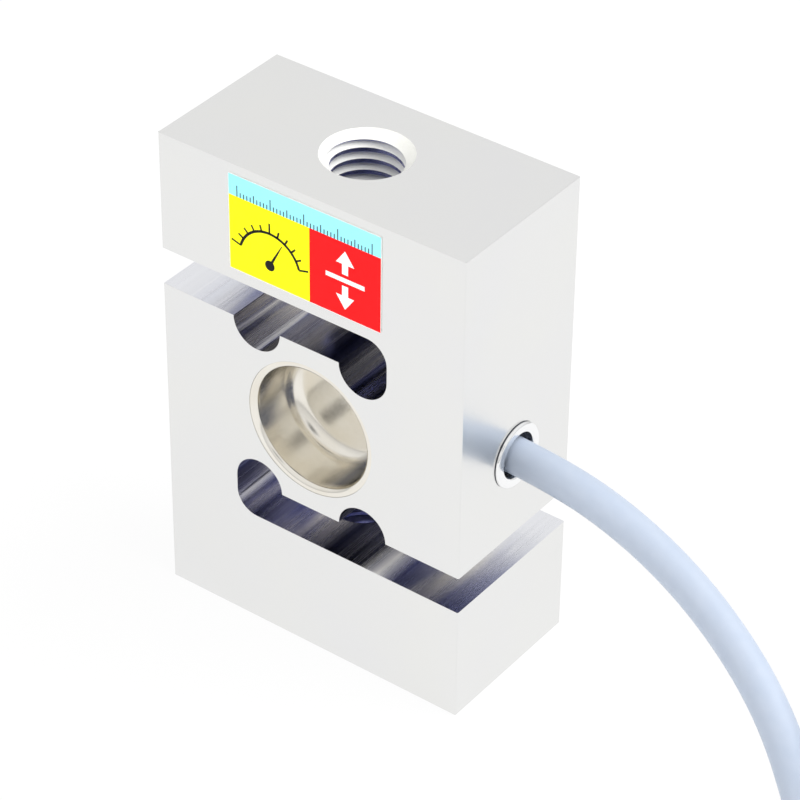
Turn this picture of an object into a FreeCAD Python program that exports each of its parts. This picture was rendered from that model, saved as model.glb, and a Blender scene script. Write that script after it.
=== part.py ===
"""S-type load cell with a sealed gauge bore: one solid for each piece, in millimetres.

The frame has its origin at the centre of the bottom face, on the load axis. +Z runs
up the load axis, X runs across the wide faces, and the front face looks along -Y.
Turning the spring element half a turn about the gauge bore maps it onto itself.
"""
import FreeCAD
import Part
import math
import os
from FreeCAD import Vector as V

# ---- Spring element ----
BLOCK_WIDTH = 50.8
BLOCK_DEPTH = 25.4
BLOCK_HEIGHT = 76.2
EDGE_BREAK = 0.15

BEAM_HEIGHT = 27.1          # centre block, from one slot to the other
SLOT_HEIGHT = 5.95
SLOT_END = 13.0             # end wall of a slot, past the load axis
SLOT_CORNER_RADIUS = 3.4
RELIEF_RADIUS = 4.0         # half-round reliefs that thin the beam beside the bore

THREAD_MAJOR = 12.0         # M12 x 1.75 on the load axis, at both ends
THREAD_TAP_DRILL = 10.2
THREAD_MOUTH = 13.0         # countersink at the face

BORE_RADIUS = 10.2          # gauge bore, through the centre block
RIM_LEDGE = 0.3             # cup's rim, past the edge of the bore
RIM_CLEARANCE = 0.05
RIM_SEAT_DEPTH = 0.36       # counterbore that takes the rim, nearly flush

# ---- Sealing cups ----
CUP_SHEET = 0.3
CUP_WALL_CLEARANCE = 0.5    # between the cup's wall and the bore
CUP_DEPTH = 8.5             # face of the block to the cup's floor
CUP_FLOOR_FILLET = 2.45

# ---- Cable outlet in the side face ----
CABLE_DIAMETER = 5.2
FERRULE_FLANGE_RADIUS = 4.88
FERRULE_NOSE_RADIUS = 4.5
FERRULE_PROUD = 0.55
FERRULE_HOLE_RADIUS = 3.4
FERRULE_SHANK_RADIUS = 4.2
FERRULE_SHANK_LENGTH = 7.0
SEAL_RECESS = 1.3           # seal's face, below the ferrule's nose
SEAL_LENGTH = 4.5
PASSAGE_RADIUS = 2.4        # for the cores, from the jacket's end to the bore
FIT = 0.05                  # clearance on the radius of a fitted piece

# ---- Label on the upper block ----
LABEL_WIDTH = 25.4
LABEL_HEIGHT = 15.1
LABEL_THICKNESS = 0.12
LABEL_CORNER = 0.3
LABEL_OFFSET = -0.6         # of its middle, from the load axis
LABEL_BELOW_TOP = 1.6

# ---- Gauges and wiring on the bore wall ----
BOND = 0.1                  # adhesive between a piece and the wall
SOLDER = 0.15               # between a core and the terminal under it
GAUGE_ARC = 4.0
GAUGE_THICKNESS = 0.15
GAUGE_HALF_LENGTH = 3.3
TERMINAL_ARC = 3.0
TERMINAL_THICKNESS = 0.6
BRIDGE_WIRE_RADIUS = 0.15
BRIDGE_WIRE_Y = -3.0
RESISTOR_RADIUS = 0.8
RESISTOR_LENGTH = 4.2
RESISTOR_Y = -1.5
CORE_RADIUS = 0.55
CORE_OFFSET = 0.8           # of each core from the cable's axis, along Y and along Z
CORE_END = 0.9              # of a core, past the middle of its terminal

# ---- Cable, put-away coil and stripped end ----
CABLE_RADIUS = CABLE_DIAMETER / 2
TIE_THICKNESS = 1.1
TIE_WIDTH = 3.6
TIE_HEAD = 5.0
COIL_MEAN_RADIUS = 27.2     # at the middle of the turns
COIL_TURNS_PER_LAYER = 2.5
COIL_LAYERS = 6
TURN_PITCH = 5.25           # from turn to turn in a layer
LAYER_PITCH = 5.0
COIL_CORNER = 1.6           # cut off each corner of the coil's section
CORD_GAP = 0.3              # from the cable's side to the coil's outer wall
SLEEVE_WALL = 0.45
SLEEVE_GRIP = 9.5           # length on the jacket
SLEEVE_OVERHANG = 6.0       # length past the end of the jacket
SLEEVE_NOSE_RADIUS = 2.3
LEAD_RADIUS = 0.65
LEAD_CIRCLE = 1.3           # on which the five leads leave the sleeve

# ---- Worked out from the above ----
CENTRE_Z = BLOCK_HEIGHT / 2
HALF_WIDTH = BLOCK_WIDTH / 2
HALF_DEPTH = BLOCK_DEPTH / 2
SLOT_INNER = BEAM_HEIGHT / 2
SLOT_OUTER = SLOT_INNER + SLOT_HEIGHT
RELIEF_X = SLOT_END - RELIEF_RADIUS
CENTRE = V(0, 0, CENTRE_Z)
SIDEWAYS = V(0, -1, 0)      # turning about it takes +X to +Z
THIN_SECTION_ANGLE = math.degrees(math.atan2(SLOT_INNER, RELIEF_X))
JACKET_END_X = HALF_WIDTH - FERRULE_SHANK_LENGTH - 0.2
FERRULE_FACE_X = HALF_WIDTH + FERRULE_PROUD
COIL_HALF_WIDTH = COIL_TURNS_PER_LAYER * TURN_PITCH / 2 + CABLE_RADIUS
COIL_OUTER_RADIUS = COIL_MEAN_RADIUS + COIL_HALF_WIDTH
COIL_INNER_RADIUS = COIL_MEAN_RADIUS - COIL_HALF_WIDTH
COIL_BOTTOM = TIE_THICKNESS + BOND
COIL_HEIGHT = (COIL_LAYERS - 1) * LAYER_PITCH + CABLE_DIAMETER
COIL_TOP = COIL_BOTTOM + COIL_HEIGHT
TAIL_HEIGHT = COIL_TOP + BOND + TIE_THICKNESS + BOND + CABLE_RADIUS
RIM_RADIUS = BORE_RADIUS + RIM_LEDGE
WALL_RADIUS = BORE_RADIUS - BOND            # back of every piece bonded to the bore wall
PAD_RADIUS = WALL_RADIUS - TERMINAL_THICKNESS
SLEEVE_RADIUS = CABLE_RADIUS + FIT + SLEEVE_WALL

# The cable leaves straight out of the ferrule, sags to the surface that the cell
# stands on, and runs along it to the side of the coil.
CABLE_ROUTE = [
    V(JACKET_END_X, 0, CENTRE_Z),
    V(31.5, 0, CENTRE_Z),
    V(46, -1, 35.5),
    V(60, -4, 31),
    V(73, -9, 24.5),
    V(82.5, -15, 16),
    V(90, -20.5, 6.5),
    V(98, -25.5, CABLE_RADIUS),
    V(107, -29.8, CABLE_RADIUS),
]

# The cable's end crosses the top of the coil, over one of its ties. The points are
# from the coil's centre.
TAIL_ROUTE = [
    V(-10, 33.2, TAIL_HEIGHT),
    V(-23.8, 25.2, TAIL_HEIGHT),
    V(-29.3, 10.2, TAIL_HEIGHT),
    V(-23.8, -4.9, TAIL_HEIGHT),
    V(-8.2, -13.9, TAIL_HEIGHT),
]


def solid_named(name, shape):
    """Write one closed solid to its own STEP file."""
    if shape.ShapeType == "Compound" and len(shape.Solids) == 1:
        shape = shape.Solids[0]
    assert len(shape.Solids) == 1 and shape.isValid(), name
    shape.exportStep(f"parts/{name}.step")
    print(f"{name:20s} {shape.Volume:10.2f} mm3")
    return shape


def line(a, b):
    return Part.LineSegment(a, b).toShape()


def arc(a, middle, b):
    return Part.Arc(a, middle, b).toShape()


def arc_about(centre, radius, start, end, at):
    """An arc from angle start to angle end, in degrees, placed by the function at."""
    points = [
        at(centre[0] + radius * math.cos(math.radians(t)),
           centre[1] + radius * math.sin(math.radians(t)))
        for t in (start, (start + end) / 2, end)
    ]
    return arc(*points)


def cylinder(radius, start, end):
    """A cylinder between two points."""
    return Part.makeCylinder(radius, (end - start).Length, start, end - start)


def along_x(radius, x0, x1):
    """A cylinder on the axis of the cable outlet."""
    return cylinder(radius, V(x0, 0, CENTRE_Z), V(x1, 0, CENTRE_Z))


def along_y(radius, y0, y1):
    """A cylinder on the axis of the gauge bore."""
    return cylinder(radius, V(0, y0, CENTRE_Z), V(0, y1, CENTRE_Z))


def half_turn(shape):
    """A copy turned half a turn about the gauge bore."""
    copy = shape.copy()
    copy.rotate(CENTRE, V(0, 1, 0), 180)
    return copy


# ---------------------------------------------------------------- spring element
def slot_cutter():
    """The upper slot, open at -X, with its two half-round reliefs."""
    def at(x, z):
        return V(x, -HALF_DEPTH - 1, CENTRE_Z + z)

    mouth = -HALF_WIDTH - 1
    corner = (SLOT_END - SLOT_CORNER_RADIUS, SLOT_OUTER - SLOT_CORNER_RADIUS)
    right_relief = (RELIEF_X, SLOT_INNER)
    left_relief = (-RELIEF_X, SLOT_INNER)
    edges = [
        line(at(mouth, SLOT_OUTER), at(corner[0], SLOT_OUTER)),
        arc_about(corner, SLOT_CORNER_RADIUS, 90, 0, at),
        line(at(SLOT_END, corner[1]), at(SLOT_END, SLOT_INNER)),
        arc_about(right_relief, RELIEF_RADIUS, 0, -180, at),
        line(at(RELIEF_X - RELIEF_RADIUS, SLOT_INNER), at(RELIEF_RADIUS - RELIEF_X, SLOT_INNER)),
        arc_about(left_relief, RELIEF_RADIUS, 0, -180, at),
        line(at(-SLOT_END, SLOT_INNER), at(mouth, SLOT_INNER)),
        line(at(mouth, SLOT_INNER), at(mouth, SLOT_OUTER)),
    ]
    return Part.Face(Part.Wire(edges)).extrude(V(0, BLOCK_DEPTH + 2, 0))


def is_outer_edge(edge):
    """True for an edge of the plain block, where two of its six faces meet."""
    middle = edge.valueAt((edge.FirstParameter + edge.LastParameter) / 2)
    points = [vertex.Point for vertex in edge.Vertexes] + [middle]
    on_faces = [
        all(abs(abs(p.x) - HALF_WIDTH) < 1e-6 for p in points),
        all(abs(abs(p.y) - HALF_DEPTH) < 1e-6 for p in points),
        all(abs(abs(p.z - CENTRE_Z) - CENTRE_Z) < 1e-6 for p in points),
    ]
    return sum(on_faces) == 2


def thread_hole():
    """The tapping hole from the top face down into the upper slot, with its countersink."""
    mouth, drill = THREAD_MOUTH / 2, THREAD_TAP_DRILL / 2
    top = V(0, 0, BLOCK_HEIGHT)
    hole = cylinder(drill, V(0, 0, CENTRE_Z + SLOT_OUTER - 1), top + V(0, 0, 1))
    countersink = Part.makeCone(drill, mouth, mouth - drill, top - V(0, 0, mouth - drill))
    return hole.fuse(countersink)


def make_body():
    block = Part.makeBox(BLOCK_WIDTH, BLOCK_DEPTH, BLOCK_HEIGHT, V(-HALF_WIDTH, -HALF_DEPTH, 0))
    slot = slot_cutter()
    body = block.cut([slot, half_turn(slot)])
    body = body.makeChamfer(EDGE_BREAK, [e for e in body.Edges if is_outer_edge(e)])

    hole = thread_hole()
    bore = along_y(BORE_RADIUS, -HALF_DEPTH - 1, HALF_DEPTH + 1)
    rim_seat = RIM_RADIUS + RIM_CLEARANCE
    front_seat = along_y(rim_seat, -HALF_DEPTH - 1, -HALF_DEPTH + RIM_SEAT_DEPTH)
    rear_seat = along_y(rim_seat, HALF_DEPTH - RIM_SEAT_DEPTH, HALF_DEPTH + 1)
    outlet = along_x(FERRULE_SHANK_RADIUS, JACKET_END_X - FIT, HALF_WIDTH + 1)
    passage = along_x(PASSAGE_RADIUS, 0, HALF_WIDTH)
    return body.cut([hole, half_turn(hole), bore, front_seat, rear_seat, outlet, passage])


# ---------------------------------------------------------------- sealing cups
def make_cup():
    """The front cup: a sheet pressed into a flanged pot, revolved about the bore's axis."""
    def at(radius, depth):
        return V(radius, -HALF_DEPTH + depth, CENTRE_Z)

    outer_wall = BORE_RADIUS - CUP_WALL_CLEARANCE
    inner_wall = outer_wall - CUP_SHEET
    bend = BORE_RADIUS - outer_wall
    bend_centre = (BORE_RADIUS, RIM_SEAT_DEPTH + bend)
    fillet = CUP_FLOOR_FILLET
    floor_centre = (inner_wall - fillet, CUP_DEPTH - fillet)
    top = RIM_SEAT_DEPTH - CUP_SHEET
    back = CUP_DEPTH + CUP_SHEET
    edges = [
        line(at(0, CUP_DEPTH), at(floor_centre[0], CUP_DEPTH)),
        arc_about(floor_centre, fillet, 90, 0, at),
        line(at(inner_wall, floor_centre[1]), at(inner_wall, bend_centre[1])),
        arc_about(bend_centre, bend + CUP_SHEET, 180, 270, at),
        line(at(bend_centre[0], top), at(RIM_RADIUS, top)),
        line(at(RIM_RADIUS, top), at(RIM_RADIUS, RIM_SEAT_DEPTH)),
        line(at(RIM_RADIUS, RIM_SEAT_DEPTH), at(bend_centre[0], RIM_SEAT_DEPTH)),
        arc_about(bend_centre, bend, 270, 180, at),
        line(at(outer_wall, bend_centre[1]), at(outer_wall, floor_centre[1])),
        arc_about(floor_centre, fillet + CUP_SHEET, 0, 90, at),
        line(at(floor_centre[0], back), at(0, back)),
        line(at(0, back), at(0, CUP_DEPTH)),
    ]
    return Part.Face(Part.Wire(edges)).revolve(CENTRE, V(0, 1, 0), 360)


# ---------------------------------------------------------------- cable outlet
def make_ferrule():
    """A turned ring: shank in the side face, flange on it, chamfered nose."""
    chamfer = FERRULE_FLANGE_RADIUS - FERRULE_NOSE_RADIUS
    flange = along_x(FERRULE_FLANGE_RADIUS, HALF_WIDTH, FERRULE_FACE_X - chamfer)
    nose = Part.makeCone(FERRULE_FLANGE_RADIUS, FERRULE_NOSE_RADIUS, chamfer,
                         V(FERRULE_FACE_X - chamfer, 0, CENTRE_Z), V(1, 0, 0))
    shank = along_x(FERRULE_SHANK_RADIUS - FIT, HALF_WIDTH - FERRULE_SHANK_LENGTH, HALF_WIDTH)
    hole = along_x(FERRULE_HOLE_RADIUS, 0, FERRULE_FACE_X + 1)
    return flange.fuse([nose, shank]).cut(hole).removeSplitter()


def make_seal():
    """The rubber ring between the ferrule and the cable."""
    face = FERRULE_FACE_X - SEAL_RECESS
    ring = along_x(FERRULE_HOLE_RADIUS - FIT, face - SEAL_LENGTH, face)
    return ring.cut(along_x(CABLE_RADIUS + FIT, 0, face + 1))


# ---------------------------------------------------------------- label
def make_label():
    plate = Part.makeBox(LABEL_WIDTH, LABEL_THICKNESS, LABEL_HEIGHT,
                         V(LABEL_OFFSET - LABEL_WIDTH / 2, -HALF_DEPTH - LABEL_THICKNESS,
                           BLOCK_HEIGHT - LABEL_BELOW_TOP - LABEL_HEIGHT))
    corners = [e for e in plate.Edges if abs(e.Length - LABEL_THICKNESS) < 1e-6]
    return plate.makeFillet(LABEL_CORNER, corners)


# ---------------------------------------------------------------- gauges and wiring
def swept_about_bore(face, start, end):
    """Turn a face that lies at +X about the bore, from angle start to angle end."""
    face.rotate(CENTRE, SIDEWAYS, start)
    return face.revolve(CENTRE, SIDEWAYS, end - start)


def wall_patch(angle, arc_length, thickness):
    """A patch bonded to the bore wall, centred at the angle from +X towards +Z."""
    face = Part.makePlane(thickness, 2 * GAUGE_HALF_LENGTH,
                          V(WALL_RADIUS - thickness, -GAUGE_HALF_LENGTH, CENTRE_Z))
    half = math.degrees(arc_length / 2 / WALL_RADIUS)
    return swept_about_bore(face, angle - half, angle + half)


def bridge_wire(start, end):
    """A wire along the bore wall, from angle start to angle end."""
    centre = V(WALL_RADIUS - BRIDGE_WIRE_RADIUS, BRIDGE_WIRE_Y, CENTRE_Z)
    circle = Part.Wire(Part.makeCircle(BRIDGE_WIRE_RADIUS, centre, V(0, 0, 1)))
    return swept_about_bore(Part.Face(circle), start, end)


def resistor(angle):
    """A compensation resistor lying along the bore wall."""
    centre = V(WALL_RADIUS - RESISTOR_RADIUS, RESISTOR_Y, CENTRE_Z)
    shape = cylinder(RESISTOR_RADIUS, centre, centre + V(0, RESISTOR_LENGTH, 0))
    shape.rotate(CENTRE, SIDEWAYS, angle)
    return shape


def make_bridge():
    """Gauges at the four thin sections, terminals between them, and their wires."""
    gauges = {
        "upper_right": THIN_SECTION_ANGLE,
        "upper_left": 180 - THIN_SECTION_ANGLE,
        "lower_left": 180 + THIN_SECTION_ANGLE,
        "lower_right": 360 - THIN_SECTION_ANGLE,
    }
    terminals = {"right": THIN_SECTION_ANGLE / 2, "top": 90, "left": 180, "bottom": 270}
    for name, angle in gauges.items():
        solid_named(f"gauge_{name}", wall_patch(angle, GAUGE_ARC, GAUGE_THICKNESS))
    for name, angle in terminals.items():
        solid_named(f"terminal_{name}", wall_patch(angle, TERMINAL_ARC, TERMINAL_THICKNESS))

    gauge_half = math.degrees((GAUGE_ARC / 2 + BOND) / WALL_RADIUS)
    terminal_half = math.degrees((TERMINAL_ARC / 2 + BOND) / WALL_RADIUS)
    stops = [(angle, terminal_half) for angle in terminals.values()]
    stops += [(angle, gauge_half) for angle in gauges.values()]
    stops.sort()
    stops.append((stops[0][0] + 360, stops[0][1]))
    for number, (here, there) in enumerate(zip(stops, stops[1:]), start=1):
        wire = bridge_wire(here[0] + here[1], there[0] - there[1])
        solid_named(f"bridge_wire_{number}", wire)

    solid_named("resistor_zero", resistor(180 + THIN_SECTION_ANGLE / 2))
    solid_named("resistor_span", resistor(360 - THIN_SECTION_ANGLE / 2))


# ---------------------------------------------------------------- tubes along a path
def tube(name, points, radius):
    """Straight runs joined by tangent arcs, each arc as large as its two runs allow."""
    edges = []
    here = points[0]
    for before, corner, after in zip(points, points[1:], points[2:]):
        run_in, run_out = corner - before, after - corner
        shorter = min(run_in.Length, run_out.Length)
        half = run_in.getAngle(run_out) / 2
        bend = 0.45 * shorter / math.tan(half)
        print(f"  {name}: turn {math.degrees(2 * half):5.1f} deg, radius {bend:6.1f} mm")
        run_in.normalize()
        run_out.normalize()
        start, end = corner - run_in * (0.45 * shorter), corner + run_out * (0.45 * shorter)
        inward = run_out - run_in
        inward.normalize()
        middle = corner + inward * (bend / math.cos(half) - bend)
        edges += [line(here, start), arc(start, middle, end)]
        here = end
    edges.append(line(here, points[-1]))
    path = Part.Wire(edges)
    section = Part.Wire(Part.makeCircle(radius, points[0], points[1] - points[0]))
    shape = path.makePipeShell([section], True, False)
    expected = math.pi * radius ** 2 * path.Length
    print(f"  {name}: {path.Length:.1f} mm long, volume / (section x length) "
          f"{shape.Volume / expected:.5f}")
    return solid_named(name, shape)


def make_cores():
    """The four cores, from the end of the jacket to the terminals they are soldered to."""
    start = JACKET_END_X - FIT
    near, far = -CORE_OFFSET, CORE_OFFSET
    level = PAD_RADIUS - SOLDER - CORE_RADIUS

    def at(x, y, z):
        return V(x, y, CENTRE_Z + z)

    angle = math.radians(THIN_SECTION_ANGLE / 2)
    on_pad = at(level * math.cos(angle), near, level * math.sin(angle))
    along_pad = V(-math.sin(angle), 0, math.cos(angle))
    rise = (on_pad.z - CENTRE_Z - CORE_OFFSET) / along_pad.z
    tube("core_white", [
        at(start, near, CORE_OFFSET),
        on_pad - along_pad * rise,
        on_pad + along_pad * CORE_END,
    ], CORE_RADIUS)
    tube("core_red", [
        at(start, far, CORE_OFFSET),
        at(6.5, far, CORE_OFFSET),
        at(2.5, far, level),
        at(-CORE_END, far, level),
    ], CORE_RADIUS)
    tube("core_black", [
        at(start, near, -CORE_OFFSET),
        at(6.5, near, -CORE_OFFSET),
        at(2.5, near, -level),
        at(-CORE_END, near, -level),
    ], CORE_RADIUS)
    tube("core_green", [
        at(start, far, -CORE_OFFSET),
        at(5, far, -CORE_OFFSET),
        at(-1, far, -CORE_OFFSET - 1.6),
        at(-6, far, -CORE_OFFSET),
        at(SOLDER - PAD_RADIUS, far, -CORE_OFFSET + 0.1),
    ], CORE_RADIUS)


# ---------------------------------------------------------------- coil and cable end
def coil_centre():
    """The coil stands beside the end of the route, which runs along its outer wall."""
    heading = CABLE_ROUTE[-1] - CABLE_ROUTE[-2]
    heading.normalize()
    leftward = V(-heading.y, heading.x, 0)
    centre = CABLE_ROUTE[-1] + leftward * (COIL_OUTER_RADIUS + CABLE_RADIUS + CORD_GAP)
    return V(centre.x, centre.y, 0)


def coil_section(centre, grow):
    """The coil's section, a rectangle with its corners cut off, made larger all round."""
    r0, r1 = COIL_INNER_RADIUS - grow, COIL_OUTER_RADIUS + grow
    z0, z1 = COIL_BOTTOM - grow, COIL_TOP + grow
    cut = COIL_CORNER + grow * (2 - math.sqrt(2))
    outline = [
        (r0 + cut, z0), (r1 - cut, z0), (r1, z0 + cut), (r1, z1 - cut),
        (r1 - cut, z1), (r0 + cut, z1), (r0, z1 - cut), (r0, z0 + cut), (r0 + cut, z0),
    ]
    return Part.Face(Part.makePolygon([centre + V(r, 0, z) for r, z in outline]))


def make_coil(centre):
    """The outer shape of the put-away turns."""
    return coil_section(centre, 0).revolve(centre, V(0, 0, 1), 360)


def make_tie(centre, angle):
    """A cable tie drawn round the coil, with its head on the outer wall."""
    outer = BOND + TIE_THICKNESS
    band = coil_section(centre, outer).cut(coil_section(centre, BOND)).extrude(V(0, TIE_WIDTH, 0))
    band.translate(V(0, -TIE_WIDTH / 2, 0))
    head = Part.makeBox(TIE_HEAD - TIE_THICKNESS, TIE_HEAD, TIE_HEAD,
                        centre + V(COIL_OUTER_RADIUS + outer, -TIE_HEAD / 2,
                                   COIL_BOTTOM + COIL_HEIGHT / 2 - TIE_HEAD / 2))
    tie = band.fuse(head).removeSplitter()
    tie.rotate(centre, V(0, 0, 1), angle)
    return tie


def make_cable_end(centre):
    """The last of the cable on the coil, its heat-shrink sleeve and stripped leads."""
    tail = [centre + point for point in TAIL_ROUTE]
    tube("cable_tail", tail, CABLE_RADIUS)
    end = tail[-1]
    forward = end - tail[-2]
    forward.normalize()
    left = V(-forward.y, forward.x, 0)

    def at(ahead, side, height):
        return end + forward * ahead + left * side + V(0, 0, height)

    # The sleeve is shrunk over the jacket and closes down onto the leads in front of it.
    grip = CABLE_RADIUS + FIT
    profile = Part.makePolygon([
        at(-SLEEVE_GRIP, 0, grip),
        at(-SLEEVE_GRIP, 0, SLEEVE_RADIUS),
        at(SLEEVE_WALL, 0, SLEEVE_RADIUS),
        at(SLEEVE_OVERHANG, 0, SLEEVE_NOSE_RADIUS),
        at(SLEEVE_OVERHANG, 0, 0),
        at(FIT, 0, 0),
        at(FIT, 0, grip),
        at(-SLEEVE_GRIP, 0, grip),
    ])
    solid_named("end_sleeve", Part.Face(profile).revolve(end, forward, 360))

    # Each lead leaves the sleeve's nose square, drops onto the coil and fans out.
    resting = COIL_TOP + BOND + LEAD_RADIUS - end.z
    leads = {
        "tail_red": (162, 14, 4.2, 27, 12),
        "tail_black": (234, 13, 2.2, 26, 6),
        "tail_shield": (90, 14, 0.2, 24, 0.5),
        "tail_green": (306, 13, -1.6, 22, -4.5),
        "tail_white": (18, 12, -4.6, 19, -9.5),
    }
    for name, (clock, ahead_1, side_1, ahead_2, side_2) in leads.items():
        side = -LEAD_CIRCLE * math.cos(math.radians(clock))
        height = LEAD_CIRCLE * math.sin(math.radians(clock))
        tube(name, [
            at(SLEEVE_OVERHANG, side, height),
            at(SLEEVE_OVERHANG + 6, side, height),
            at(SLEEVE_OVERHANG + ahead_1, side_1, resting),
            at(SLEEVE_OVERHANG + ahead_2, side_2, resting),
        ], LEAD_RADIUS)


def main():
    os.makedirs("parts", exist_ok=True)
    solid_named("body", make_body())
    front_cup = make_cup()
    solid_named("front_cup", front_cup)
    solid_named("rear_cup", front_cup.mirror(V(0, 0, 0), V(0, 1, 0)))
    solid_named("cable_ferrule", make_ferrule())
    solid_named("cable_seal", make_seal())
    solid_named("label", make_label())
    make_bridge()
    make_cores()
    tube("cable_lead", CABLE_ROUTE, CABLE_RADIUS)
    centre = coil_centre()
    solid_named("cable_coil", make_coil(centre))
    solid_named("coil_tie_a", make_tie(centre, 28))
    solid_named("coil_tie_b", make_tie(centre, 160))
    make_cable_end(centre)


main()
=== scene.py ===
# %% [markdown]
# # An S-type load cell in Blender
# The object is a force sensor: one steel block cut through by two slots, so that it reads as a
# letter S and bends a little when it is pulled or pushed along its threaded ends. The solid
# parts come ready from CAD. This lesson gives them their finishes, cuts the screw threads,
# spins up the pressed and turned pieces smoothly, prints a label and lays out the cable.
#
# The first cell loads the CAD parts as a fixed frame. Everything is in metres, with the origin
# at the middle of the block's bottom face, +Z up the load axis and the front face towards -Y.

# %% Load the frame
import math

import bmesh
import bpy
import numpy as np
from mathutils import Matrix, Vector


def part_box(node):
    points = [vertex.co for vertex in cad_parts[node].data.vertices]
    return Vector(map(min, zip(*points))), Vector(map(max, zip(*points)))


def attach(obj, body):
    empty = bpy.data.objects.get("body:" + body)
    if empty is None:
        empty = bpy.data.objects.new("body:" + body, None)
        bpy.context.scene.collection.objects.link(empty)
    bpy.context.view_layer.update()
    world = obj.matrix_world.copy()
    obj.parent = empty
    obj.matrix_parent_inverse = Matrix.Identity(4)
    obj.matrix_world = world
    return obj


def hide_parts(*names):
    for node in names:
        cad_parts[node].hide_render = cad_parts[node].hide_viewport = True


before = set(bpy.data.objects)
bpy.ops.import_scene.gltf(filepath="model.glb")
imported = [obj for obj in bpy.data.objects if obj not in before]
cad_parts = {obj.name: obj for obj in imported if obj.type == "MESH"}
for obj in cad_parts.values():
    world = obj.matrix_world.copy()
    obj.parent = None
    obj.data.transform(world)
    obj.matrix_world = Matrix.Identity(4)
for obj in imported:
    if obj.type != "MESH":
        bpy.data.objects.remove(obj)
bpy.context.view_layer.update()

bpy.context.scene.view_settings.view_transform = "Standard"
MM = 0.001

# %% [markdown]
# ## The camera
# A product shot of a small part is taken with a long lens from half a metre, which keeps its
# upright edges nearly parallel. The camera is placed by the direction it looks back along, its
# distance, and a small shift in its own plane, instead of by typed coordinates: each of these
# can be judged by eye on its own.

# %% Camera
def stand(name, data):
    """A new object that holds data, in the scene and at the origin."""
    made = bpy.data.objects.new(name, data)
    bpy.context.scene.collection.objects.link(made)
    return made


AZIMUTH, ELEVATION, ROLL = 36.549, 36.488, 0.644      # degrees
DISTANCE = 499.88 * MM
SHIFT_RIGHT, SHIFT_UP = 4.996 * MM, 28.740 * MM
SENSOR, LENS = 36.0, 155.19                           # millimetres, as Blender counts them

az, el, roll = (math.radians(angle) for angle in (AZIMUTH, ELEVATION, ROLL))
back = Vector((math.sin(az) * math.cos(el), -math.cos(az) * math.cos(el), math.sin(el)))
level = (-back).cross(Vector((0, 0, 1))).normalized()
upright = level.cross(-back)
right = level * math.cos(roll) + upright * math.sin(roll)
up = upright * math.cos(roll) - level * math.sin(roll)

camera = stand("camera", bpy.data.cameras.new("camera"))
camera.data.sensor_width, camera.data.lens = SENSOR, LENS
camera.data.clip_start, camera.data.clip_end = 0.01, 20
axes = Matrix((right, up, back)).transposed().to_4x4()
camera.matrix_world = Matrix.Translation(back * DISTANCE + right * SHIFT_RIGHT + up * SHIFT_UP) @ axes
bpy.context.scene.camera = camera
print("camera at", [round(v / MM) for v in camera.location], "mm")

# %% [markdown]
# ## Nodes and colours
# A material is a small graph of nodes that ends in one shader. One function adds a node with
# its settings and links, and one turns a hex colour, as a screen shows it, into the linear
# numbers that a shader works in. Every pattern is sized by its cells in millimetres and reads
# Object coordinates, so it keeps its size and place on the piece. Most of the small pieces
# need only one noise that moves their colour and gloss together, and they share one recipe.

# %% Adding nodes
def linear(hex_colour):
    """sRGB hex to linear RGBA: each channel is c/12.92 below 0.04045, else ((c+0.055)/1.055)^2.4."""
    channels = np.array([int(hex_colour[i:i + 2], 16) for i in (1, 3, 5)]) / 255
    curve = np.where(channels <= 0.04045, channels / 12.92, ((channels + 0.055) / 1.055) ** 2.4)
    return (*curve.tolist(), 1.0)


def wire(node, inputs):
    """Give each named socket of a node a plain value, or a link from another socket or node.

    A node stands for its first output in use, which is its only one for most kinds.
    """
    for key, value in inputs.items():
        if isinstance(value, bpy.types.Node):
            value = next(socket for socket in value.outputs if socket.enabled)
        if isinstance(value, bpy.types.NodeSocket):
            node.id_data.links.new(value, node.inputs[key])
        else:
            node.inputs[key].default_value = value


def add(owner, kind, inputs=None, **settings):
    """Add a node of a kind to a material or the world, with its settings, values and links."""
    made = owner.node_tree.nodes.new("ShaderNode" + kind)
    for name, value in settings.items():
        setattr(made, name, value)
    wire(made, inputs or {})
    return made


print("one function adds a node; mid grey is", round(linear("#808080")[0], 3), "in linear numbers")

# %% Materials
MIDDLE_HALF = {"From Min": 0.25, "From Max": 0.75}      # where nearly all of a noise's values lie


def new_material(name):
    """A material whose nodes are one Principled shader and the output."""
    material = bpy.data.materials.new(name)
    material.use_nodes = True
    return material


def finish(material, inputs):
    """Wire the material's shader."""
    wire(material.node_tree.nodes["Principled BSDF"], inputs)
    print("finish:", material.name)


def per_cell(*cell_mm):
    """Scales that give a texture cells of these lengths in millimetres: one over each length."""
    return [1 / (cell * MM) for cell in cell_mm]


def grained(name, hex_a, hex_b, grain_mm, roughness, detail=2.0, seed=0.0, **constants):
    """A whole finish: one noise of grain_mm cells moves the colour and the roughness together."""
    material = new_material(name)
    cells = add(material, "Mapping", {
        "Vector": add(material, "TexCoord").outputs["Object"],
        "Location": (seed,) * 3, "Scale": per_cell(*[grain_mm] * 3),
    })
    grain = add(material, "TexNoise", {"Vector": cells, "Scale": 1.0, "Detail": detail})
    tone = add(material, "Mix", {0: grain, 6: linear(hex_a), 7: linear(hex_b)}, data_type="RGBA")
    gloss = add(material, "MapRange", {
        "Value": grain, **MIDDLE_HALF, "To Min": roughness[0], "To Max": roughness[1],
    })
    shared = {key.replace("_", " "): value for key, value in constants.items()}
    finish(material, {"Base Color": tone, "Roughness": gloss, **shared})
    return material


print("a noise cell of 0.5 mm has a scale of", round(per_cell(0.5)[0]))

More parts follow.
